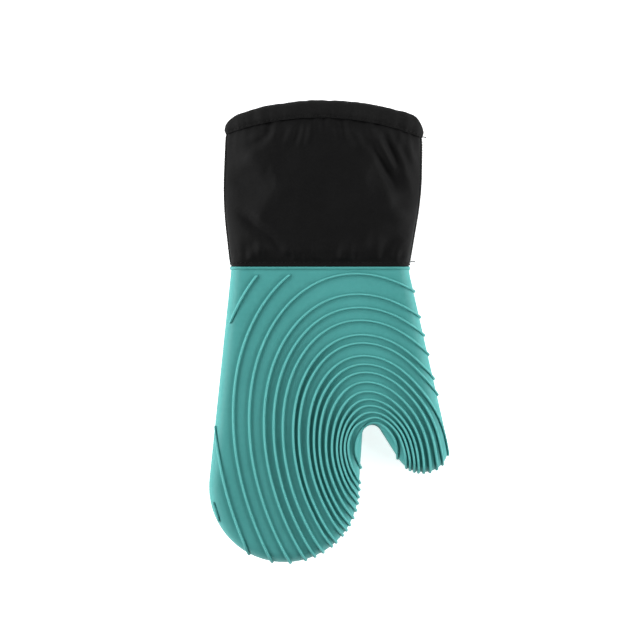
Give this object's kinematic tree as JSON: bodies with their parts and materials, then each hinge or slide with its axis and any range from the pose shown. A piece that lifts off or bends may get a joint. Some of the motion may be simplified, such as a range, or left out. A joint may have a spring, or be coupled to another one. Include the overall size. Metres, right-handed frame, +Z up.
{
  "type": "oven mitt",
  "caption": "Long oven mitt with a ribbed one-piece silicone hand and a padded fabric cuff, lying flat with fingers and thumb side by side.",
  "frame": {"origin": "middle of the footprint, on the surface that the mitt lies on", "axes": "+Y along the mitt from the fingertips to the cuff's mouth, +X towards the thumb, +Z up through the thickness, from the back of the hand to the palm"},
  "size_m": [0.1925, 0.3709, 0.037],
  "materials": {
    "silicone": "satin moulded silicone",
    "cuff_fabric": "satin-faced woven cotton",
    "binding_fabric": "folded woven binding",
    "lining_fabric": "quilted cotton lining",
    "batting": "matt polyester wadding",
    "thread": "twisted polyester thread"
  },
  "bodies": {
    "hand": {"silicone_hand_shell": "silicone", "hand_batting_palm": "batting", "hand_liner_palm": "lining_fabric", "hand_batting_back": "batting", "hand_liner_back": "lining_fabric"},
    "thumb": {"silicone_thumb_shell": "silicone", "thumb_batting_palm": "batting", "thumb_liner_palm": "lining_fabric", "thumb_batting_back": "batting", "thumb_liner_back": "lining_fabric"},
    "cuff": {"cuff_panel_palm": "cuff_fabric", "cuff_batting_palm": "batting", "cuff_lining_palm": "lining_fabric", "cuff_panel_back": "cuff_fabric", "cuff_batting_back": "batting", "cuff_lining_back": "lining_fabric", "mouth_binding": "binding_fabric", "side_seam_left": "thread", "side_seam_right": "thread", "wrist_seam_stitching": "thread", "binding_stitching": "thread", "thread_tails": "thread"}
  },
  "joints": [
    {"name": "thumb_pinch", "type": "hinge", "parent": "hand", "child": "thumb", "pos_m": [0.0332, -0.0736, 0.0185], "axis": [0, 0, -1], "range_deg": [0, 26], "stiffness_Nm_per_rad": 0.2},
    {"name": "cuff_fold", "type": "hinge", "parent": "hand", "child": "cuff", "pos_m": [-0.007, 0.052, 0.0185], "axis": [1, 0, 0], "range_deg": [0, 60], "stiffness_Nm_per_rad": 0.1, "deforming": ["cuff_panel_palm", "cuff_batting_palm", "cuff_lining_palm", "cuff_panel_back", "cuff_batting_back", "cuff_lining_back", "side_seam_left", "side_seam_right", "wrist_seam_stitching"]}
  ]
}
